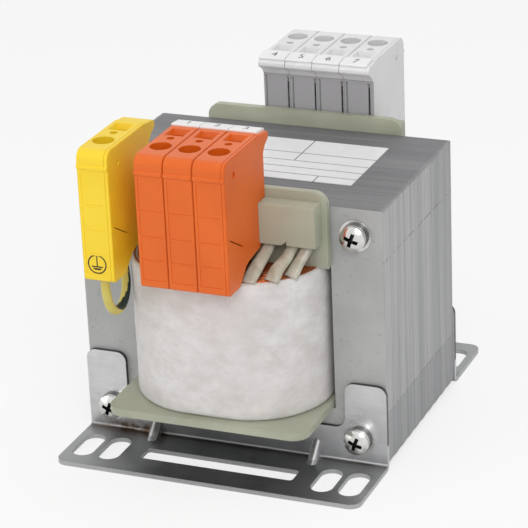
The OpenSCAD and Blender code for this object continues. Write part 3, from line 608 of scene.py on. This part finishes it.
def tube_mesh(bm, pts, radius, sides, ref, flat=1.0, closed=False, wide=None):
    """Tube through points in mm; flat is its thickness over its width, across the direction ref."""
    n = len(pts)
    rows = []
    for i, p in enumerate(pts):
        a = pts[(i - 1) % n] if closed else pts[max(i - 1, 0)]
        b = pts[(i + 1) % n] if closed else pts[min(i + 1, n - 1)]
        t = (b - a).normalized()
        s = t.cross(ref).normalized()
        v = t.cross(s)
        k = wide(i / (n - 1)) if wide else 1.0
        row = []
        for j in range(sides):
            c = 2 * math.pi * j / sides
            at = p + s * (radius * flat * math.cos(c)) + v * (radius * k * math.sin(c))
            row.append(bm.verts.new(at * MM))
        rows.append(row)
    return rows, grid_faces(bm, rows, closed, not closed)


def coil_turns():
    """The ends of the turns that show on top of the coil, one ring a turn."""
    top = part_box("secondary_winding")[1][2] / MM
    lay = {"primary": ((15.6, 28.6, 2.0), (20.2, 36.1, 9.88), 9, 0.26),
           "secondary": ((20.7, 36.85, 10.6), (25.6, 44.9, 19.13), 6, 0.46)}
    bm = bmesh.new()
    for (a, b, count, r) in lay.values():
        for k in range(count):
            t = (k + 0.5) / count
            hx, hy, rr = [a[i] + (b[i] - a[i]) * t for i in range(3)]
            wob = 0.12 * math.sin(k * 2.3)
            pts = []
            for p, _ in coil_loop(hx, hy, rr, 1.6):
                rise = 0.06 * noise.noise(Vector((p.x, p.y, k * 5)) * 0.2)
                pts.append(Vector((p.x + wob, p.y, top - 0.1 + rise)))
            tube_mesh(bm, pts, r, 6, Vector((0, 0, 1)), closed=True)
    smooth(piece("coil_turns", bm, MATS["copper"]))


def curve_points(pts, per=5):
    """Catmull-Rom points through a list of points."""
    v = [Vector(p) for p in pts]
    v = [v[0] * 2 - v[1]] + v + [v[-1] * 2 - v[-2]]
    out = []
    for i in range(1, len(v) - 2):
        a, b, c, d = v[i - 1:i + 3]
        for j in range(per):
            t = j / per
            out.append(0.5 * (2 * b + (c - a) * t + (2 * a - 5 * b + 4 * c - d) * t * t
                              + (3 * b - a - 3 * c + d) * t ** 3))
    out.append(v[-2])
    return out


def front(p):
    """A route point (x, outwards from the core's face, z) as a point in space."""
    return (p[0], -FACE_Y - p[1], p[2])


def sleeves():
    """Flattened sleeves from under the film, over the turns and up into the rail."""
    ways = (
        [(12.4, 16.6, 55.2), (12.5, 15.7, 56.2), (12.8, 14.0, 57.4), (13.0, 11.8, 58.4),
         (13.2, 9.4, 59.3), (13.4, 7.0, 60.2), (13.5, 5.2, 61.4), (13.5, 4.3, 62.7),
         (13.5, 4.15, 63.6)],
        [(17.3, 14.0, 55.2), (17.6, 13.1, 56.2), (18.0, 11.4, 57.5), (18.6, 9.8, 58.5),
         (19.2, 8.1, 59.4), (19.5, 6.5, 60.4), (19.7, 5.0, 61.5), (19.7, 4.25, 62.8),
         (19.7, 4.15, 63.6)],
        [(21.0, 10.2, 55.2), (21.4, 9.2, 56.2), (21.9, 7.9, 57.6), (22.6, 6.6, 59.0),
         (23.2, 5.5, 60.3), (23.6, 4.6, 61.6), (23.7, 4.2, 62.8), (23.7, 4.15, 63.6)])
    bm = bmesh.new()
    for k, way in enumerate(ways):
        pts = [Vector(front(p)) for p in curve_points(way, 6)]
        tube_mesh(bm, pts, SLEEVE_R, 20, Vector((1, 0, 0)), flat=SLEEVE_FLAT,
                  wide=lambda t, k=k: 1.0 + 0.12 * math.sin(5 * t + k) - 0.1 * t)
    ob = smooth(piece("lead_sleeves", bm, MATS["clear_sleeve"]))
    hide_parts("primary_sleeves")


def earth_wire():
    """The earth lead, with its green stripe turning slowly about it."""
    way = [(-24, 23.5, 62.6), (-24, 23.5, 58), (-24, 23.5, 54.5), (-24, 23.3, 51.5),
           (-24, 22.6, 48.6), (-24, 21.1, 46), (-24, 18.8, 44.3), (-24, 16.3, 43.8),
           (-24.1, 13.8, 44.6), (-24.2, 11.9, 46.6), (-24.4, 10.9, 49.4), (-24.9, 10.3, 52.2),
           (-25.9, 8.9, 54.3), (-27.5, 6.7, 55.5), (-29.3, 4.2, 56), (-30.7, 2.3, 56.95),
           (-31.2, 2.3, 57.82), (-32.1, 2.3, 59.38)]
    pts = [Vector(front(p)) for p in curve_points(way, 6)]
    bm = bmesh.new()
    sides = EARTH_SIDES
    _, faces = tube_mesh(bm, pts, EARTH_R, sides, Vector((1, 0.3, 0.2)))
    n = len(pts)
    for i in range(n - 1):
        t = i / (n - 1)
        centre = EARTH_TURN[0] + EARTH_TURN[1] * t
        for k in range(sides):
            a = (360 * (k + 0.5) / sides - centre + 180) % 360 - 180
            faces[i * sides + k].material_index = 1 if abs(a) < STRIPE_HALF else 0
    ob = piece("earth_wire", bm, MATS["earth_insulation"])
    ob.data.materials.append(EARTH_GREEN)
    smooth(ob)
    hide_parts("earth_lead")



def earth_symbol():
    lo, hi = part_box("earth_housing")
    y = lo[1] + 0.5 * MM + 0.14 * MM
    cx, cz = (lo[0] + hi[0]) / 2, lo[2] + 4.6 * MM
    c = Vector((cx, y - 0.02 * MM, cz))
    ex, ey, d = Vector((1, 0, 0)), Vector((0, 0, 1)), Vector((0, PRINT_T * MM, 0))
    bm = bmesh.new()
    q = lambda x, z: c + ex * (x * MM) + ey * (z * MM)
    ring_print(bm, c, ex, ey, 2.6 * MM, 0.36 * MM, d)
    flat_poly(bm, [q(-0.16, 2.25), q(0.16, 2.25), q(0.16, -0.5), q(-0.16, -0.5)], d)
    flat_poly(bm, [q(-1.6, -0.5), q(1.6, -0.5), q(1.45, -0.85), q(-1.45, -0.85)], d)
    flat_poly(bm, [q(-1.25, -1.05), q(1.25, -1.05), q(0.75, -1.55), q(-0.75, -1.55)], d)
    piece("earth_sign", bm, INK)


def digit(name, text, node):
    """A printed digit on a tag's sloping face, read from in front of the terminals' row."""
    lo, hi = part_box(node)
    cu = bpy.data.curves.new(name, "FONT")
    cu.body = text
    cu.size = DIGIT_H * MM
    cu.align_x, cu.align_y = "CENTER", "CENTER"
    tmp = bpy.data.objects.new(name + "_tmp", cu)
    bpy.context.scene.collection.objects.link(tmp)
    bpy.context.view_layer.update()
    me = bpy.data.meshes.new_from_object(tmp.evaluated_get(bpy.context.evaluated_depsgraph_get()))
    bpy.data.objects.remove(tmp)
    me.name = name
    ob = bpy.data.objects.new(name, me)
    bpy.context.scene.collection.objects.link(ob)
    out = 1 if lo[1] > 0 else -1
    slope = math.atan(TAG_SLOPE) * out
    c = Vector(((lo[0] + hi[0]) / 2, (lo[1] + hi[1]) / 2, hi[2] - TAG_DEEP * MM + PRINT_T * MM))
    me.transform(Matrix.Translation(c) @ Matrix.Rotation(slope, 4, "X"))
    me.materials.clear()
    me.materials.append(INK_GREY)
    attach(ob, "root")


wrap_skin()
coil_turns()
sleeves()
earth_wire()
earth_symbol()
for k in range(1, 8):
    digit("digit_%d" % k, str(k), "marker_tag_%d" % k)


# ---------------------------------------------------------------- floor, light
def floor():
    bm = bmesh.new()
    bmesh.ops.create_grid(bm, x_segments=1, y_segments=1, size=FLOOR_HALF)
    me = bpy.data.meshes.new("floor")
    bm.to_mesh(me)
    bm.free()
    ob = bpy.data.objects.new("floor", me)
    ob.location.z = FLOOR_Z
    bpy.context.scene.collection.objects.link(ob)
    m = bpy.data.materials.new("floor")
    m.use_nodes = True
    t = m.node_tree
    b = t.nodes["Principled BSDF"]
    b.inputs["Base Color"].default_value = (0.9, 0.9, 0.9, 1)
    b.inputs["Roughness"].default_value = 0.7
    e = t.nodes.new("ShaderNodeEmission")
    e.inputs["Strength"].default_value = 1.0
    lp = t.nodes.new("ShaderNodeLightPath")
    mx = t.nodes.new("ShaderNodeMixShader")
    a = t.nodes.new("ShaderNodeMath")
    a.operation = "MULTIPLY"
    a.inputs[1].default_value = FLOOR_GLOW
    t.links.new(lp.outputs["Is Camera Ray"], a.inputs[0])
    t.links.new(a.outputs[0], mx.inputs[0])
    t.links.new(b.outputs[0], mx.inputs[1])
    t.links.new(e.outputs[0], mx.inputs[2])
    t.links.new(mx.outputs[0], t.nodes["Material Output"].inputs[0])
    me.materials.append(m)


def area(name, loc, target, size, power):
    li = bpy.data.lights.new(name, "AREA")
    li.shape = "RECTANGLE"
    li.size, li.size_y = size, size
    li.energy = power
    ob = bpy.data.objects.new(name, li)
    ob.location = loc
    ob.rotation_euler = (Vector(loc) - Vector(target)).to_track_quat("Z", "Y").to_euler()
    bpy.context.scene.collection.objects.link(ob)


def world():
    w = bpy.data.worlds.new("world")
    bpy.context.scene.world = w
    w.use_nodes = True
    t = w.node_tree
    bg = t.nodes["Background"]
    bg.inputs["Color"].default_value = (1, 1, 1, 1)
    lp = t.nodes.new("ShaderNodeLightPath")
    a = t.nodes.new("ShaderNodeMath")
    a.operation = "MAXIMUM"
    b = t.nodes.new("ShaderNodeMapRange")
    b.inputs["To Min"].default_value = WORLD_LIGHT
    b.inputs["To Max"].default_value = 1.0
    c = t.nodes.new("ShaderNodeMath")
    c.operation = "MAXIMUM"
    t.links.new(lp.outputs["Is Camera Ray"], a.inputs[0])
    t.links.new(lp.outputs["Is Transmission Ray"], a.inputs[1])
    t.links.new(a.outputs[0], c.inputs[0])
    t.links.new(lp.outputs["Is Glossy Ray"], c.inputs[1])
    t.links.new(c.outputs[0], b.inputs["Value"])
    t.links.new(b.outputs["Result"], bg.inputs["Strength"])


floor()
world()
for lamp, place, size, power in LIGHTS:
    area(lamp, place, LIGHT_AIM, size, power)

bpy.context.scene.view_settings.view_transform = "Standard"
